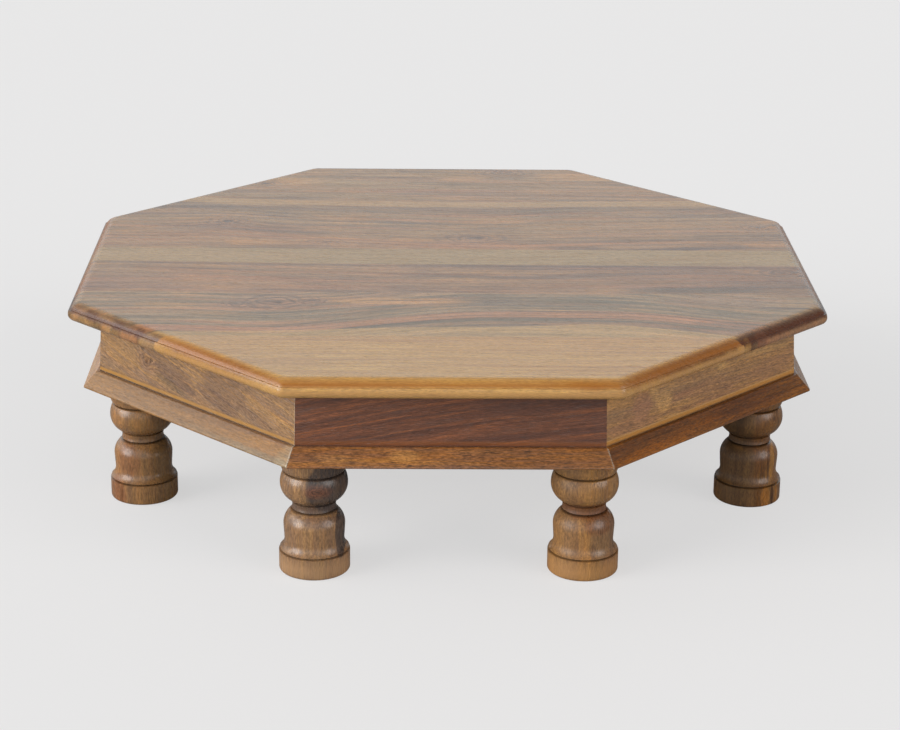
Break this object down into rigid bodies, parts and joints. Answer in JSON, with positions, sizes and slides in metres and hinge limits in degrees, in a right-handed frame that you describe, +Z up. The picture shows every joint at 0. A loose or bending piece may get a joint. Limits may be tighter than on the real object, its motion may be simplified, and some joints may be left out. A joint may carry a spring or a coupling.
{
  "type": "bajot low table",
  "caption": "Low eight-sided table in lacquered sheesham wood: moulded plank top, mitred aprons above a sloping base moulding, and short turned legs under the corners.",
  "frame": {"origin": "on the floor, under the middle of the octagonal top", "axes": "+Z up; -Y towards the front side of the octagon; +X to the right of someone facing that side, along the grain of the top planks"},
  "size_m": [0.6, 0.6, 0.17],
  "materials": {
    "top_wood": "satin lacquer over sheesham with dark heartwood streaks and pale sapwood bands",
    "apron_wood": "satin lacquer over golden brown sheesham",
    "dark_apron_wood": "satin lacquer over dark purple-brown sheesham heartwood",
    "moulding_wood": "satin lacquer over mid-brown sheesham",
    "leg_wood": "satin lacquer over turned sheesham",
    "block_wood": "sawn and sanded, no lacquer",
    "screw_steel": "zinc-plated wood screw",
    "brad_steel": "plain bright brad",
    "filler_wax": "dark wax filler, rubbed flush"
  },
  "bodies": {
    "root": {"top_plank_1": "top_wood", "top_plank_2": "top_wood", "top_plank_3": "top_wood", "top_plank_4": "top_wood", "top_plank_5": "top_wood", "apron_front": "dark_apron_wood", "apron_front_right": "apron_wood", "apron_right": "apron_wood", "apron_back_right": "apron_wood", "apron_back": "apron_wood", "apron_back_left": "apron_wood", "apron_left": "apron_wood", "apron_front_left": "apron_wood", "base_moulding_front": "moulding_wood", "base_moulding_front_right": "moulding_wood", "base_moulding_right": "moulding_wood", "base_moulding_back_right": "moulding_wood", "base_moulding_back": "moulding_wood", "base_moulding_back_left": "moulding_wood", "base_moulding_left": "moulding_wood", "base_moulding_front_left": "moulding_wood", "leg_front_right": "leg_wood", "leg_right_front": "leg_wood", "leg_right_back": "leg_wood", "leg_back_right": "leg_wood", "leg_back_left": "leg_wood", "leg_left_back": "leg_wood", "leg_left_front": "leg_wood", "leg_front_left": "leg_wood", "corner_block_front_right": "block_wood", "corner_block_right_front": "block_wood", "corner_block_right_back": "block_wood", "corner_block_back_right": "block_wood", "corner_block_back_left": "block_wood", "corner_block_left_back": "block_wood", "corner_block_left_front": "block_wood", "corner_block_front_left": "block_wood", "cross_batten": "block_wood", "block_screws": "screw_steel", "batten_screws": "screw_steel", "apron_brads": "brad_steel", "moulding_brads": "brad_steel", "brad_hole_fillers": "filler_wax"}
  },
  "joints": []
}
